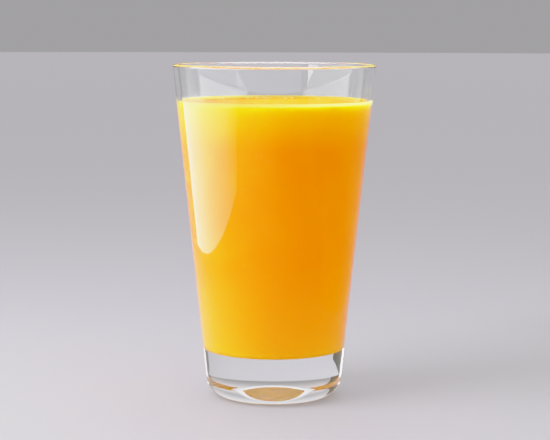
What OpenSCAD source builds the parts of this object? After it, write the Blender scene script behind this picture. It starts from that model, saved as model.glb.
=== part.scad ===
// Glass of orange juice: a tapered heavy-based tumbler filled with juice.
// All sizes in millimetres. Origin at the centre of the foot, on the table, +Z up.

/* [Glass] */
// Height from the table to the top of the rim
glass_h = 147; // [120:1:175]
// Outer diameter across the rim
rim_d = 89; // [74:1:107]
// Outer diameter of the straight side carried down to the table
foot_d = 58.4; // [48:0.2:70]
// Thickness of the rounded lip
lip_t = 2.2; // [1.6:0.1:3]
// Thickness of the wall at the inner floor, square to the side
wall_t = 2.9; // [2.2:0.1:4]
// Height of the inner floor's edge over the table: the heavy base
base_t = 21.4; // [14:0.2:26]

/* [Foot and floor] */
// Radius of the rounded outer corner between side and foot
foot_r = 8; // [5:0.5:11]
// Width of the flat ring that the glass stands on
ring_w = 3.6; // [2:0.2:8]
// Rise of the domed hollow under the foot, inside the flat ring
punt_h = 7.2; // [1:0.2:8.4]
// Radius of the inner corner between floor and wall
floor_r = 2.2; // [1:0.2:4]
// Dip of the inner floor at its middle
floor_dip = 1; // [0.4:0.2:2]

/* [Juice] */
// Distance from the top of the rim down to the juice
headroom = 16.8; // [8:0.2:60]

/* [Colours] */
// Colour of the glass
glass_colour = [0.85, 0.88, 0.88, 0.3];
// Colour of the juice
juice_colour = [0.95, 0.62, 0.05];

/* [Hidden] */
$fn = 96;
dome_steps = 12;
arc_step = 7.5;

// The lip is a half-round that the outer and the inner side both run into without a step.
lip_r = lip_t / 2;
lip_at = [rim_d / 2 - lip_r, glass_h - lip_r];

// Slope of the outer side, from the table up to the lip
outer_a = slope_to_lip([foot_d / 2, 0], -1);

// Inner side: it starts at the floor's edge, one wall inside the outer side.
inner_start = [foot_d / 2 + base_t / tan(outer_a) - wall_t / sin(outer_a), base_t];
inner_a = slope_to_lip(inner_start, 1);

// Centres of the two rounded corners in the half-section, and the hollow under the foot
foot_at = [foot_d / 2 - corner_run(foot_r, outer_a), foot_r];
floor_at = [inner_start.x - corner_run(floor_r, inner_a), base_t + floor_r];
punt_r = foot_at.x - ring_w;

// The juice ends at its level, on the same inner side as the glass.
juice_z = glass_h - headroom;
juice_r = inner_start.x + (juice_z - base_t) / tan(inner_a);

// Angle of the line from p that just touches the lip, on its outer (-1) or inner (1) side
function slope_to_lip(p, side) =
    let (to_lip = lip_at - p)
    atan2(to_lip.y, to_lip.x) + side * asin(lip_r / norm(to_lip));

// Distance from a corner between a level line and a side of slope a to where a round of radius r begins
function corner_run(r, a) = r / tan((180 - a) / 2);

// Points on a circle round c from angle a0 up to a1: both ends, and each whole step between them
function arc(c, r, a0, a1) = [
    for (a = concat([a0], [for (s = [-90 : arc_step : 180]) if (s > a0 && s < a1) s], [a1]))
        c + r * [cos(a), sin(a)]
];

// Points of a dome from the axis out to radius r at height z; a negative rise is a dip.
function dome(r, z, rise) =
    let (ball_r = (r * r + rise * rise) / (2 * abs(rise)))
    [
        for (i = [0 : dome_steps - 1])
            let (x = r * i / dome_steps)
            [x, z + sign(rise) * (sqrt(ball_r * ball_r - x * x) - ball_r + abs(rise))]
    ];

function reversed(points) = [for (i = [len(points) - 1 : -1 : 0]) points[i]];

// Inner floor and its rounded corner, from the axis outwards: the glass and the juice share it.
function floor_line() = concat(
    dome(floor_at.x, base_t, -floor_dip),
    arc(floor_at, floor_r, -90, inner_a - 90)
);

module glass() {
    color(glass_colour)
        rotate_extrude()
            polygon(concat(
                dome(punt_r, 0, punt_h),
                [[punt_r, 0]],
                arc(foot_at, foot_r, -90, outer_a - 90),
                arc(lip_at, lip_r, outer_a - 90, inner_a + 90),
                reversed(floor_line())
            ));
}

module juice() {
    color(juice_colour)
        rotate_extrude()
            polygon(concat(
                floor_line(),
                [[juice_r, juice_z], [0, juice_z]]
            ));
}

glass();
juice();
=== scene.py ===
import math
import random

import bmesh
import bpy
from mathutils import Matrix, Vector


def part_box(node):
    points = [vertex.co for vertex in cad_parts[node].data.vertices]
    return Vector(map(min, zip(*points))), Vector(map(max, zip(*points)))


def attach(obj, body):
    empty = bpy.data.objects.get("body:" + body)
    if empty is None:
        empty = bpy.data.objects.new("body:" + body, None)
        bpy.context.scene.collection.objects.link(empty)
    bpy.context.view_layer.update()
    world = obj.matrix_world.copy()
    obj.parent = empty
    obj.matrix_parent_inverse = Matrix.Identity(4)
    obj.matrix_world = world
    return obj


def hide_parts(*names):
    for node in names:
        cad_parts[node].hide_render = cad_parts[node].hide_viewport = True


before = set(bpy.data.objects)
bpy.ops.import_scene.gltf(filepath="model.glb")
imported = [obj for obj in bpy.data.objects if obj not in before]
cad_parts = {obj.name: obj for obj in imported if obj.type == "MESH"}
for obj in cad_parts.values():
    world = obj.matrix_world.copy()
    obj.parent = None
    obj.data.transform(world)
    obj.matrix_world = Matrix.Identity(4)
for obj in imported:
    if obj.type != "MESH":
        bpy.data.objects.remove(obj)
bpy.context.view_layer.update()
print("frame loaded with nodes", sorted(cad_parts))

mm = 0.001
hair = 0.001 * mm  # points closer than this count as one
turnSteps = 192  # faces round the axis, for the glass and for the juice
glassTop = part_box("glass")[1]
rimRadius, glassHeight = glassTop.x, glassTop.z
juiceFloor, juiceLevel = [corner.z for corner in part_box("juice")]


def wireProfile(points):
    # a half-section on the XZ plane, from the axis round and back to the axis
    bm = bmesh.new()
    corners = [bm.verts.new((radius, 0, height)) for radius, height in points]
    for first, second in zip(corners, corners[1:]):
        bm.edges.new((first, second))
    return bm, corners


def roundCorner(bm, corner, radius, segments):
    # the round starts where a circle of that radius touches the two edges
    arms = [edge.other_vert(corner).co - corner.co for edge in corner.link_edges]
    run = radius / math.tan(arms[0].angle(arms[1]) / 2)
    bmesh.ops.bevel(bm, geom=[corner], offset=run, offset_type="OFFSET", segments=segments,
                    profile=0.5, affect="VERTICES", material=-1)


def archEdge(bm, radius, height, rise, cuts):
    # turns the flat edge from the axis out to radius into a part of a ball, a dish if rise is negative
    def onEdge(vert):
        return vert.co.x < radius + hair and abs(vert.co.z - height) < hair
    flat = [edge for edge in bm.edges if all(onEdge(vert) for vert in edge.verts)]
    bmesh.ops.subdivide_edges(bm, edges=flat, cuts=cuts)
    reach = max(vert.co.x for vert in bm.verts if onEdge(vert))
    ball = (reach ** 2 + rise ** 2) / (2 * abs(rise))
    for vert in [vert for vert in bm.verts if onEdge(vert)]:
        vert.co.z += math.copysign(math.sqrt(ball ** 2 - vert.co.x ** 2) - ball + abs(rise), rise)


def spinProfile(bm):
    bmesh.ops.spin(bm, geom=bm.verts[:] + bm.edges[:], cent=(0, 0, 0), axis=(0, 0, 1), dvec=(0, 0, 0),
                   angle=2 * math.pi, steps=turnSteps, use_merge=True, use_duplicate=False)
    bmesh.ops.remove_doubles(bm, verts=bm.verts[:], dist=hair)
    bmesh.ops.recalc_face_normals(bm, faces=bm.faces[:])


pieces = []


def makePiece(bm, name, materials):
    for face in bm.faces:
        face.smooth = True
    mesh = bpy.data.meshes.new(name)
    bm.to_mesh(mesh)
    bm.free()
    for material in materials:
        mesh.materials.append(material)
    piece = bpy.data.objects.new(name, mesh)
    bpy.context.scene.collection.objects.link(piece)
    # long walls keep their own slope beside a tight round
    even = piece.modifiers.new("evenShading", "WEIGHTED_NORMAL")
    even.mode = "FACE_AREA"
    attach(piece, "root")
    pieces.append(piece)
    print("made", name, "with", len(mesh.polygons), "faces")
    return piece


def newMaterial(name):
    material = bpy.data.materials.new(name)
    material.use_nodes = True
    return material, material.node_tree.nodes["Principled BSDF"]


def addNode(tree, kind, **values):
    # sets sockets by name and node properties by attribute
    node = tree.nodes.new(kind)
    for key, value in values.items():
        if key in node.inputs:
            node.inputs[key].default_value = value
        else:
            setattr(node, key, value)
    return node


def noiseOnObject(tree, scale, detail=3.0, roughness=0.5, stretch=(1, 1, 1)):
    # a noise in metres on Object coordinates
    place = addNode(tree, "ShaderNodeTexCoord")
    turn = addNode(tree, "ShaderNodeMapping", Scale=stretch)
    noise = addNode(tree, "ShaderNodeTexNoise", Scale=scale, Detail=detail, Roughness=roughness)
    tree.links.new(place.outputs["Object"], turn.inputs["Vector"])
    tree.links.new(turn.outputs["Vector"], noise.inputs["Vector"])
    return noise


def mapRange(tree, source, low, high, fromLow=0.3, fromHigh=0.7):
    node = addNode(tree, "ShaderNodeMapRange")
    node.inputs["From Min"].default_value = fromLow
    node.inputs["From Max"].default_value = fromHigh
    node.inputs["To Min"].default_value = low
    node.inputs["To Max"].default_value = high
    tree.links.new(source, node.inputs["Value"])
    return node.outputs["Result"]


def mixColour(tree, share, first, second):
    # from a linked colour to a fixed one
    node = addNode(tree, "ShaderNodeMix", data_type="RGBA")
    tree.links.new(share, node.inputs["Factor"])
    tree.links.new(first, node.inputs["A"])
    node.inputs["B"].default_value = second
    return node.outputs["Result"]


def addBump(tree, shader, height, strength, distance):
    bump = addNode(tree, "ShaderNodeBump", Strength=strength, Distance=distance)
    tree.links.new(height, bump.inputs["Height"])
    tree.links.new(bump.outputs["Normal"], shader.inputs["Normal"])


# clear pressed glass: a faint ripple from the mould and a breath of smudging
clearGlass = {
    "colour": (0.985, 0.995, 0.992, 1),
    "ior": 1.52,
    "rippleScale": 45,
    "rippleStretch": (1, 1, 0.4),
    "rippleStrength": 0.3,
    "rippleDepth": 0.05 * mm,
    "smudgeScale": 60,
    "smudge": (0.0, 0.02),
    "absorb": (0.84, 0.94, 0.88, 1),
    "absorbDensity": 1.6,
}


def makeClearGlass(look):
    material, shader = newMaterial("clearGlass")
    tree = material.node_tree
    shader.inputs["Base Color"].default_value = look["colour"]
    shader.inputs["IOR"].default_value = look["ior"]
    shader.inputs["Transmission Weight"].default_value = 1.0
    smudge = noiseOnObject(tree, look["smudgeScale"])
    tree.links.new(mapRange(tree, smudge.outputs["Fac"], *look["smudge"]), shader.inputs["Roughness"])
    ripple = noiseOnObject(tree, look["rippleScale"], detail=1.0, stretch=look["rippleStretch"])
    addBump(tree, shader, ripple.outputs["Fac"], look["rippleStrength"], look["rippleDepth"])
    absorb = addNode(tree, "ShaderNodeVolumeAbsorption", Color=look["absorb"],
                     Density=look["absorbDensity"])
    tree.links.new(absorb.outputs["Volume"], tree.nodes["Material Output"].inputs["Volume"])
    return material


# cloudy orange juice: slow clouds, fine pulp, and light that soaks through it; painted light makes it
# lighter towards the top and towards the floor, and painted shade darkens the face to the air
cloudyJuice = {
    "deep": (0.975, 0.245, 0.006, 1),
    "bright": (0.98, 0.275, 0.009, 1),
    "high": (0.985, 0.46, 0.012, 1),  # towards the surface: painted light, the glow from above painted into the colour
    "paintedTopDepth": 18 * mm,
    "surface": (0.98, 0.165, 0.008, 1),  # what faces the air, darker than the body: painted shade against the light that falls on it from above
    "low": (0.98, 0.34, 0.02, 1),  # towards the floor: painted light, lighter where light from below brightens the juice
    "lowDepth": 40 * mm,
    "under": (0.985, 0.56, 0.26, 1),  # paler, on the faces that lie level on the floor of the glass
    "cloudScale": 55,
    "cloudEdges": (0.35, 0.65),
    "pulpScale": 900,
    "pulpShare": 0.3,
    "pulpStrength": 0.2,
    "pulpDepth": 0.05 * mm,
    "dull": (0.4, 0.5),  # roughness against the glass
    "wet": (0.05, 0.10),
    "soak": (1.0, 0.95, 0.5),
    "soakDepth": 9 * mm,
    "ior": 1.35,
}


def makeJuice(name, look, roughness, upperPaintedColour, lowColour):
    material, shader = newMaterial(name)
    tree = material.node_tree
    clouds = noiseOnObject(tree, look["cloudScale"], detail=2.0)
    pulp = noiseOnObject(tree, look["pulpScale"], detail=2.0)
    blend = addNode(tree, "ShaderNodeMix", data_type="FLOAT")
    blend.inputs["Factor"].default_value = look["pulpShare"]
    tree.links.new(clouds.outputs["Fac"], blend.inputs["A"])
    tree.links.new(pulp.outputs["Fac"], blend.inputs["B"])
    ramp = addNode(tree, "ShaderNodeValToRGB")
    shades = (look["deep"], look["bright"])
    for stop, edge, shade in zip(ramp.color_ramp.elements, look["cloudEdges"], shades):
        stop.position = edge
        stop.color = shade
    tree.links.new(blend.outputs["Result"], ramp.inputs["Fac"])
    place = addNode(tree, "ShaderNodeTexCoord")
    split = addNode(tree, "ShaderNodeSeparateXYZ")
    tree.links.new(place.outputs["Object"], split.inputs["Vector"])
    # painted light and shade: near the top the colour turns lighter on the body and darker on the face to
    # the air, and near the floor it turns lighter on the body and paler on the level floor faces
    paintedTopShare = mapRange(tree, split.outputs["Z"], 0, 1, juiceLevel - look["paintedTopDepth"], juiceLevel)
    lowShare = mapRange(tree, split.outputs["Z"], 1, 0, juiceFloor, juiceFloor + look["lowDepth"])
    colour = mixColour(tree, paintedTopShare, ramp.outputs["Color"], look[upperPaintedColour])
    colour = mixColour(tree, lowShare, colour, look[lowColour])
    tree.links.new(colour, shader.inputs["Base Color"])
    tree.links.new(mapRange(tree, pulp.outputs["Fac"], *look[roughness]), shader.inputs["Roughness"])
    shader.inputs["Subsurface Weight"].default_value = 1.0
    shader.inputs["Subsurface Radius"].default_value = look["soak"]
    shader.inputs["Subsurface Scale"].default_value = look["soakDepth"]
    shader.inputs["IOR"].default_value = look["ior"]
    shader.inputs["Specular IOR Level"].default_value = 0.0
    addBump(tree, shader, pulp.outputs["Fac"], look["pulpStrength"], look["pulpDepth"])
    return material


# bubble skins: thin, wet and a little paler than the juice
bubbleSkin = {
    "thin": (0.90, 0.40, 0.08, 1),
    "thick": (0.95, 0.58, 0.24, 1),
    "mottleScale": 1500,
    "mottleStrength": 0.1,
    "mottleDepth": 0.02 * mm,
    "wet": (0.05, 0.15),
    "soak": (1.0, 0.6, 0.3),
    "soakShare": 0.6,
    "soakDepth": 1.0 * mm,
    "ior": 1.35,
}


def makeBubbleSkin(look):
    material, shader = newMaterial("bubbleSkin")
    tree = material.node_tree
    mottle = noiseOnObject(tree, look["mottleScale"], detail=1.0)
    ramp = addNode(tree, "ShaderNodeValToRGB")
    for stop, shade in zip(ramp.color_ramp.elements, (look["thin"], look["thick"])):
        stop.color = shade
    tree.links.new(mottle.outputs["Fac"], ramp.inputs["Fac"])
    tree.links.new(ramp.outputs["Color"], shader.inputs["Base Color"])
    tree.links.new(mapRange(tree, mottle.outputs["Fac"], *look["wet"]), shader.inputs["Roughness"])
    shader.inputs["Subsurface Weight"].default_value = look["soakShare"]
    shader.inputs["Subsurface Radius"].default_value = look["soak"]
    shader.inputs["Subsurface Scale"].default_value = look["soakDepth"]
    shader.inputs["IOR"].default_value = look["ior"]
    addBump(tree, shader, mottle.outputs["Fac"], look["mottleStrength"], look["mottleDepth"])
    return material


glassMaterial = makeClearGlass(clearGlass)
bodyMaterial = makeJuice("cloudyJuice", cloudyJuice, "dull", "high", "low")
# the face to the air takes the darker painted shade in place of the painted top light
surfaceMaterial = makeJuice("juiceSurface", cloudyJuice, "wet", "surface", "low")
paleUnderMaterial = makeJuice("paleUnderside", cloudyJuice, "dull", "high", "under")
bubbleMaterial = makeBubbleSkin(bubbleSkin)
print("made materials")

# the tumbler, in the same sizes as the CAD node
tumbler = {
    "footRadius": 29.2 * mm,  # where the straight side would meet the table
    "footRound": 8 * mm,
    "footSegments": 16,
    "ringWidth": 3.6 * mm,
    "puntRise": 7.2 * mm,
    "puntCuts": 23,
    "lipRadius": 1.1 * mm,
    "lipSegments": 8,  # for each half of the lip
    "lipFill": 0.995,  # share of the lip that each round takes, so that the two never meet
    "wallAtFloor": 2.9 * mm,
    "floorEdge": 21.4 * mm,
    "floorRound": 2.2 * mm,
    "floorSegments": 10,
    "floorDip": 1.0 * mm,
    "floorCuts": 12,
}
lipCentre = Vector((rimRadius - tumbler["lipRadius"], glassHeight - tumbler["lipRadius"]))


def sideLean(start, side):
    # outward run for each metre up, for a side that just touches the lip
    toLip = lipCentre - start
    angle = math.atan2(toLip.y, toLip.x) + side * math.asin(tumbler["lipRadius"] / toLip.length)
    return 1 / math.tan(angle)


outerLean = sideLean(Vector((tumbler["footRadius"], 0)), -1)
floorRadius = (tumbler["footRadius"] + outerLean * tumbler["floorEdge"]
               - tumbler["wallAtFloor"] * math.hypot(1, outerLean))
innerLean = sideLean(Vector((floorRadius, tumbler["floorEdge"])), 1)


def innerRadius(height):
    return floorRadius + innerLean * (height - tumbler["floorEdge"])


def makeTumbler():
    footRun = tumbler["footRound"] / math.tan((math.pi / 2 + math.atan(outerLean)) / 2)
    puntRadius = tumbler["footRadius"] - footRun - tumbler["ringWidth"]
    bm, corners = wireProfile([
        (0, 0),
        (puntRadius, 0),
        (tumbler["footRadius"], 0),
        (tumbler["footRadius"] + outerLean * glassHeight, glassHeight),
        (innerRadius(glassHeight), glassHeight),
        (floorRadius, tumbler["floorEdge"]),
        (0, tumbler["floorEdge"]),
    ])
    foot, lipOuter, lipInner, floorCorner = corners[2:6]
    roundCorner(bm, foot, tumbler["footRound"], tumbler["footSegments"])
    for lipSide in (lipOuter, lipInner):
        roundCorner(bm, lipSide, tumbler["lipRadius"] * tumbler["lipFill"], tumbler["lipSegments"])
    roundCorner(bm, floorCorner, tumbler["floorRound"], tumbler["floorSegments"])
    archEdge(bm, floorRadius, tumbler["floorEdge"], -tumbler["floorDip"], tumbler["floorCuts"])
    archEdge(bm, puntRadius, 0, tumbler["puntRise"], tumbler["puntCuts"])
    spinProfile(bm)
    piece = makePiece(bm, "glassTumbler", [glassMaterial])
    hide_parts("glass")


makeTumbler()

# the juice reaches just into the wall, so that no air shows between them
juice = {
    "reach": 0.15 * mm,
    "meniscus": 1.3 * mm,
    "meniscusRound": 1.17 * mm,
    "meniscusSegments": 8,
    "film": 0.03 * mm,  # thickness of the meniscus where it ends on the wall
    "levelFace": -0.9,  # a face whose normal points down more than this is part of the level floor
}


def makeOrangeJuice():
    contact = juiceLevel + juice["meniscus"]
    bm, corners = wireProfile([
        (0, tumbler["floorEdge"] - juice["reach"]),
        (floorRadius + juice["reach"], tumbler["floorEdge"] - juice["reach"]),
        (innerRadius(contact) + juice["reach"], contact),
        (innerRadius(contact) - juice["film"], contact),
        (innerRadius(juiceLevel) - juice["film"], juiceLevel),
        (0, juiceLevel),
    ])
    floorCorner, meniscusFoot = corners[1], corners[4]
    roundCorner(bm, floorCorner, tumbler["floorRound"], tumbler["floorSegments"])
    roundCorner(bm, meniscusFoot, juice["meniscusRound"], juice["meniscusSegments"])
    archEdge(bm, floorRadius, tumbler["floorEdge"] - juice["reach"], -tumbler["floorDip"],
             tumbler["floorCuts"])
    spinProfile(bm)
    # what faces the air gets the wet surface with its painted shade, and what lies level on the floor gets
    # the paler underside colour
    for face in bm.faces:
        middle = face.calc_center_median()
        offWall = innerRadius(middle.z) - math.hypot(middle.x, middle.y)
        if middle.z >= juiceLevel - hair and offWall > 0:
            face.material_index = 1
        elif middle.z < tumbler["floorEdge"] and face.normal.z < juice["levelFace"]:
            face.material_index = 2
    piece = makePiece(bm, "orangeJuice", [bodyMaterial, surfaceMaterial, paleUnderMaterial])
    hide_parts("juice")


makeOrangeJuice()

# bubbles that float against the wall, in little rafts
floatingBubbles = {
    "seed": 11,
    # degrees round from +X, and how many bubbles
    "rafts": [(82, 7), (96, 5), (104, 3), (128, 4), (150, 2), (62, 2), (20, 3), (200, 3), (255, 4),
              (310, 3)],
    "spread": 5.0,  # degrees to each side
    "offWall": (0.2, 1.2),  # mm
    "radius": (0.3 * mm, 0.8 * mm),
    "squash": 0.55,
    "steps": (16, 10),  # round and up each bubble
}


def turnedPlace(fromAxis, angle, height):
    return Matrix.Translation((fromAxis * math.cos(angle), fromAxis * math.sin(angle), height))


def addBall(bm, radius, place, steps):
    bmesh.ops.create_uvsphere(bm, u_segments=steps[0], v_segments=steps[1], radius=radius, matrix=place)


def makeFloatingBubbles():
    chance = random.Random(floatingBubbles["seed"])
    bm = bmesh.new()
    for raftAngle, count in floatingBubbles["rafts"]:
        for _ in range(count):
            radius = chance.uniform(*floatingBubbles["radius"])
            angle = math.radians(raftAngle + chance.uniform(-1, 1) * floatingBubbles["spread"])
            fromAxis = innerRadius(juiceLevel) - radius - chance.uniform(*floatingBubbles["offWall"]) * mm
            squash = Matrix.Diagonal((1, 1, floatingBubbles["squash"], 1))
            addBall(bm, radius, turnedPlace(fromAxis, angle, juiceLevel) @ squash, floatingBubbles["steps"])
    makePiece(bm, "floatingBubbles", [bubbleMaterial])


makeFloatingBubbles()

# fine beads of air that cling to the inside of the wall
wallBeads = {
    "seed": 5,
    "count": 46,
    "heights": (36 * mm, 126 * mm),
    "band": 110 * mm,  # some of them gather in a thin ring at this height
    "bandHalf": 1 * mm,
    "bandShare": 0.35,
    "radius": (0.16 * mm, 0.34 * mm),
    "steps": (10, 6),
}


def makeWallBeads():
    chance = random.Random(wallBeads["seed"])
    bm = bmesh.new()
    for _ in range(wallBeads["count"]):
        radius = chance.uniform(*wallBeads["radius"])
        angle = chance.uniform(0, 2 * math.pi)
        height = chance.uniform(*wallBeads["heights"])
        if chance.random() < wallBeads["bandShare"]:
            height = wallBeads["band"] + chance.uniform(-1, 1) * wallBeads["bandHalf"]
        addBall(bm, radius, turnedPlace(innerRadius(height), angle, height), wallBeads["steps"])
    makePiece(bm, "wallBeads", [bubbleMaterial])


makeWallBeads()

# the set: a wide pale floor that meets a pale sky, brightest overhead
studio = {
    "floorRadius": 8.0,
    "floorSides": 96,
    "floorColour": (0.15, 0.145, 0.155, 1),
    "floorRoughness": 0.7,
    "floorSpecular": 0.2,
    "floorGlow": 0.22,
    "skyColour": (1.0, 0.975, 1.0, 1),
    "horizonGlow": 0.33,
    "overheadGlow": 1.6,
    "glowHeights": (0.05, 1.0),  # from just over the horizon to straight overhead
}


def makeStagePiece(bm, name, material):
    mesh = bpy.data.meshes.new(name)
    bm.to_mesh(mesh)
    bm.free()
    mesh.materials.append(material)
    piece = bpy.data.objects.new(name, mesh)
    bpy.context.scene.collection.objects.link(piece)
    return piece


def makeFloor():
    material, shader = newMaterial("paleFloor")
    shader.inputs["Base Color"].default_value = studio["floorColour"]
    shader.inputs["Roughness"].default_value = studio["floorRoughness"]
    shader.inputs["Specular IOR Level"].default_value = studio["floorSpecular"]
    shader.inputs["Emission Color"].default_value = studio["skyColour"]
    shader.inputs["Emission Strength"].default_value = studio["floorGlow"]
    bm = bmesh.new()
    bmesh.ops.create_circle(bm, cap_ends=True, segments=studio["floorSides"], radius=studio["floorRadius"])
    return makeStagePiece(bm, "studioFloor", material)


def makeSky():
    world = bpy.data.worlds.new("paleSky")
    bpy.context.scene.world = world
    world.use_nodes = True
    tree = world.node_tree
    background = tree.nodes["Background"]
    background.inputs["Color"].default_value = studio["skyColour"]
    place = addNode(tree, "ShaderNodeTexCoord")
    split = addNode(tree, "ShaderNodeSeparateXYZ")
    tree.links.new(place.outputs["Generated"], split.inputs["Vector"])
    glow = mapRange(tree, split.outputs["Z"], studio["horizonGlow"], studio["overheadGlow"],
                    *studio["glowHeights"])
    tree.links.new(glow, background.inputs["Strength"])


wattsPerGlow = 4  # for each square metre of a soft box

# soft boxes light the juice from the left, from the right and from low in front, and one lights the floor
softBoxes = {
    "keyLight": {"at": (-0.275, -0.09, 0.20), "aim": (0, -0.09, 0.20), "size": (0.40, 0.42), "glow": 14.0},
    "fillLight": {"at": (0.26, -0.02, 0.10), "aim": (0, -0.02, 0.10), "size": (0.26, 0.20), "glow": 2.5},
    "lowStrip": {"at": (0.12, -0.13, 0.012), "aim": (0, 0, 0.03), "size": (0.16, 0.02), "glow": 14.0},
    "floorLight": {"at": (-0.5, -0.25, 0.55), "aim": (0, 0, 0), "size": (0.5, 0.5), "glow": 11.0,
                   "onFloor": True},
}


def makeSoftBox(name, soft):
    light = bpy.data.lights.new(name, "AREA")
    light.shape = "RECTANGLE"
    light.size, light.size_y = soft["size"]
    light.energy = wattsPerGlow * soft["glow"] * light.size * light.size_y
    hangLamp(light, soft)


def hangLamp(light, place):
    # the lamps themselves never show, in the picture or as reflections
    lamp = bpy.data.objects.new(light.name, light)
    bpy.context.scene.collection.objects.link(lamp)
    lamp.location = place["at"]
    lamp.rotation_euler = (Vector(place["aim"]) - lamp.location).to_track_quat("-Z", "Y").to_euler()
    lamp.visible_camera = False
    lamp.visible_glossy = False
    lamp.light_linking.receiver_collection = litFloor if place.get("onFloor") else litPieces
    return lamp


# a narrow lamp overhead shines straight down into the open glass
topSnoot = {
    "at": (0, 0, 0.75),
    "aim": (0, 0, 0),
    "beam": 8.0,  # degrees
    "edge": 0.25,
    "radius": 0.02,
    "watts": 6,
}


def makeTopSnoot():
    light = bpy.data.lights.new("topSnoot", "SPOT")
    light.spot_size = math.radians(topSnoot["beam"])
    light.spot_blend = topSnoot["edge"]
    light.shadow_soft_size = topSnoot["radius"]
    light.energy = topSnoot["watts"]
    hangLamp(light, topSnoot).visible_transmission = False


# a diffuser in front of the key, seen only as the long highlight on the glass
keyDiffuser = {
    "aside": -0.24,
    # distance behind the glass's axis, and height
    "outline": [(-0.229, 0.0075), (-0.286, 0.070), (-0.33, 0.12), (-0.33, 0.40), (0.19, 0.40),
                (0.19, 0.0075)],
    "dimGlow": 1.0,
    "brightGlow": 4.6,
    "dimEnd": -0.252,
    "brightEnd": 0.05,
    "hotTop": 0.097,
    "hotTopSlope": 0.14,
    "hotFeather": 0.004,
}


def mathNode(tree, operation, first, second):
    node = addNode(tree, "ShaderNodeMath", operation=operation)
    for socket, value in zip(node.inputs, (first, second)):
        if isinstance(value, (int, float)):
            socket.default_value = value
        else:
            tree.links.new(value, socket)
    return node.outputs["Value"]


def newGlow(name, strength=1.0):
    material, shader = newMaterial(name)
    tree = material.node_tree
    tree.nodes.remove(shader)
    glow = addNode(tree, "ShaderNodeEmission", Strength=strength)
    tree.links.new(glow.outputs["Emission"], tree.nodes["Material Output"].inputs["Surface"])
    return material, glow


def cutCard(corners):
    bm = bmesh.new()
    bm.faces.new([bm.verts.new(corner) for corner in corners])
    return bm


def hangCard(bm, name, material, seenBy):
    # only one kind of ray meets the card, so it lights nothing and shows only in what is clear or glossy
    card = makeStagePiece(bm, name, material)
    for kind in ("camera", "diffuse", "glossy", "transmission", "shadow"):
        setattr(card, "visible_" + kind, kind == seenBy)


def makeKeyDiffuser():
    look = keyDiffuser
    material, glow = newGlow("keyDiffuser")
    tree = material.node_tree
    place = addNode(tree, "ShaderNodeTexCoord")
    split = addNode(tree, "ShaderNodeSeparateXYZ")
    tree.links.new(place.outputs["Object"], split.inputs["Vector"])
    # brighter towards the back, and only below a top edge that slopes down to the front
    along = mapRange(tree, split.outputs["Y"], 0, look["brightGlow"] - look["dimGlow"],
                     look["dimEnd"], look["brightEnd"])
    drop = mathNode(tree, "MULTIPLY", mathNode(tree, "MINIMUM", split.outputs["Y"], 0), look["hotTopSlope"])
    above = mathNode(tree, "SUBTRACT", split.outputs["Z"], drop)
    hot = mapRange(tree, above, 1, 0, look["hotTop"] - look["hotFeather"],
                   look["hotTop"] + look["hotFeather"])
    strength = mathNode(tree, "ADD", mathNode(tree, "MULTIPLY", along, hot), look["dimGlow"])
    tree.links.new(strength, glow.inputs["Strength"])
    bm = cutCard([(look["aside"], y, z) for y, z in look["outline"]])
    hangCard(bm, "keyDiffuser", material, "glossy")


# a reflector on the right, seen only in the glass
fillCard = {
    "aside": 0.15,
    "outline": [(-0.040, -0.02), (-0.127, 0.096), (-0.262, 0.066), (-0.274, 0.082), (-0.30, 0.12),
                (0.20, 0.12), (0.20, 0)],
    "colour": (1.0, 0.95, 0.62, 1),
    "glow": 0.6,
}


def makeFillCard():
    material, glow = newGlow("fillCard", fillCard["glow"])
    glow.inputs["Color"].default_value = fillCard["colour"]
    bm = cutCard([(fillCard["aside"], y, z) for y, z in fillCard["outline"]])
    hangCard(bm, "fillCard", material, "glossy")


# a wide white board in front, high enough that only the back of the glass mirrors it
frontBoard = {
    "away": -1.0,
    "halfWidth": 1.2,
    "heights": (0.185, 0.9),
    "glow": 2.5,
}


def makeFrontBoard():
    material = newGlow("frontBoard", frontBoard["glow"])[0]
    low, high = frontBoard["heights"]
    bm = cutCard([(side * frontBoard["halfWidth"], frontBoard["away"], height)
                  for side, height in ((-1, low), (1, low), (1, high), (-1, high))])
    hangCard(bm, "frontBoard", material, "glossy")


# a board overhead, seen only as the bright line along the rim
topBoard = {
    "height": 0.70,
    "halfWidth": 0.35,
    "glow": 12.0,
}


def makeTopBoard():
    material = newGlow("topBoard", topBoard["glow"])[0]
    bm = bmesh.new()
    bmesh.ops.create_grid(bm, x_segments=1, y_segments=1, size=topBoard["halfWidth"],
                          matrix=Matrix.Translation((0, 0, topBoard["height"])))
    hangCard(bm, "topBoard", material, "glossy")


# flags keep the lamps themselves from flaring inside the clear glass over the juice
flags = {
    "asides": {"Left": -0.262, "Right": 0.25},
    "strips": {
        "lowFlag": {"glow": 0.9, "outline": [
            (0.125, 0.078), (0.0, 0.078), (-0.076, 0.072), (-0.149, 0.062), (-0.234, 0.048),
            (-0.315, 0.030), (-0.335, 0.072), (-0.248, 0.087), (-0.162, 0.101), (-0.090, 0.110),
            (-0.020, 0.117), (0.125, 0.125)]},
        "highFlag": {"glow": 3.0, "outline": [
            (0.125, 0.126), (-0.020, 0.118), (-0.090, 0.111), (-0.162, 0.102), (-0.248, 0.088),
            (-0.335, 0.073), (-0.335, 0.20), (0.125, 0.20)]},
    },
}


def makeFlags():
    for name, strip in flags["strips"].items():
        material = newGlow(name, strip["glow"])[0]
        for side, aside in flags["asides"].items():
            bm = cutCard([(aside, y, z) for y, z in strip["outline"]])
            hangCard(bm, name + side, material, "transmission")


# black cards behind on both sides, seen only through the glass, draw its dark edges
edgeCards = {
    "distance": 0.34,
    "height": 0.20,
    "left": (117, 138),  # degrees round from the front
    "right": (-124, -112),
    "black": (0.02, 0.02, 0.02, 1),
    "roughness": 0.9,
}


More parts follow.
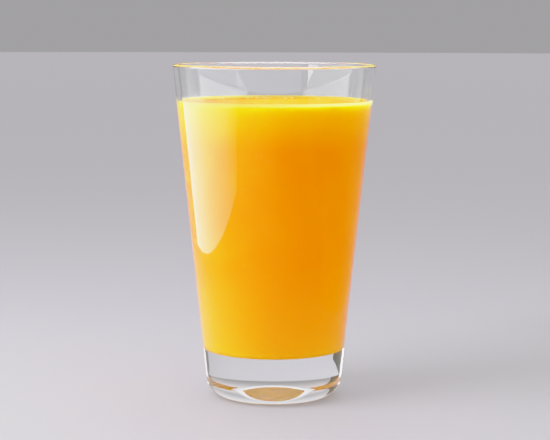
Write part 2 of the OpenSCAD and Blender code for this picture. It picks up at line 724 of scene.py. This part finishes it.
def makeEdgeCards():
    material, shader = newMaterial("blackCard")
    shader.inputs["Base Color"].default_value = edgeCards["black"]
    shader.inputs["Roughness"].default_value = edgeCards["roughness"]
    for name in ("left", "right"):
        corners = []
        for degrees, heights in zip(edgeCards[name], ((edgeCards["height"], 0), (0, edgeCards["height"]))):
            x = -edgeCards["distance"] * math.sin(math.radians(degrees))
            y = -edgeCards["distance"] * math.cos(math.radians(degrees))
            corners += [(x, y, height) for height in heights]
        hangCard(cutCard(corners), name + "EdgeCard", material, "transmission")


camera = {
    "distance": 0.734,
    "height": 0.1662,
    "down": 6.83,  # degrees
    "roll": 0.16,
    "lens": 109.2,
    "aside": 0.0004,
    "sensor": 36,
}


def makeCamera():
    data = bpy.data.cameras.new("studioCamera")
    data.sensor_width = camera["sensor"]
    data.lens = camera["lens"]
    rig = bpy.data.objects.new("studioCamera", data)
    bpy.context.scene.collection.objects.link(rig)
    rig.location = (camera["aside"], -camera["distance"], camera["height"])
    tilt = Matrix.Rotation(math.radians(90 - camera["down"]), 4, "X")
    roll = Matrix.Rotation(math.radians(camera["roll"]), 4, "Z")
    rig.rotation_euler = (tilt @ roll).to_euler()
    bpy.context.scene.camera = rig


# a soft shoulder for the brightest tones, and clean dark blues
tones = {
    "brightest": 4.0,
    # each pair is a tone and the tone that is shown for it
    "overall": [(0.6, 0.6), (0.8, 0.735), (1.0, 0.80), (1.25, 0.855), (1.5, 0.89), (2.0, 0.913),
                (3.0, 0.928), (4.0, 0.94)],
    "blue": [(0.045, 0.004), (0.12, 0.095), (0.25, 0.245), (4.0, 4.0)],
}


def setTones(scene):
    view = scene.view_settings
    view.view_transform = "Standard"
    view.use_curve_mapping = True
    mapping = view.curve_mapping
    mapping.use_clip = False
    # a curve's right end stands for the brightest tone, and the blue one comes before the overall one
    brightest = tones["brightest"]
    mapping.white_level = [brightest] * 3
    for curve, points, shownScale in ((mapping.curves[3], tones["overall"], 1),
                                      (mapping.curves[2], tones["blue"], brightest)):
        points = [(tone / brightest, shown / shownScale) for tone, shown in points]
        curve.points[1].location = points[-1]
        for point in points[:-1]:
            curve.points.new(*point)
    mapping.update()


litFloor = bpy.data.collections.new("litFloor")
litFloor.objects.link(makeFloor())
makeSky()
litPieces = bpy.data.collections.new("litPieces")
for piece in pieces:
    litPieces.objects.link(piece)
for name, soft in softBoxes.items():
    makeSoftBox(name, soft)
makeTopSnoot()
makeKeyDiffuser()
makeFillCard()
makeFrontBoard()
makeTopBoard()
makeFlags()
makeEdgeCards()
makeCamera()
scene = bpy.context.scene
setTones(scene)
bounces = {"max_bounces": 24, "transmission_bounces": 20, "glossy_bounces": 12, "diffuse_bounces": 6}
for kind, count in bounces.items():
    setattr(scene.cycles, kind, count)
print("set, lights and camera are up")
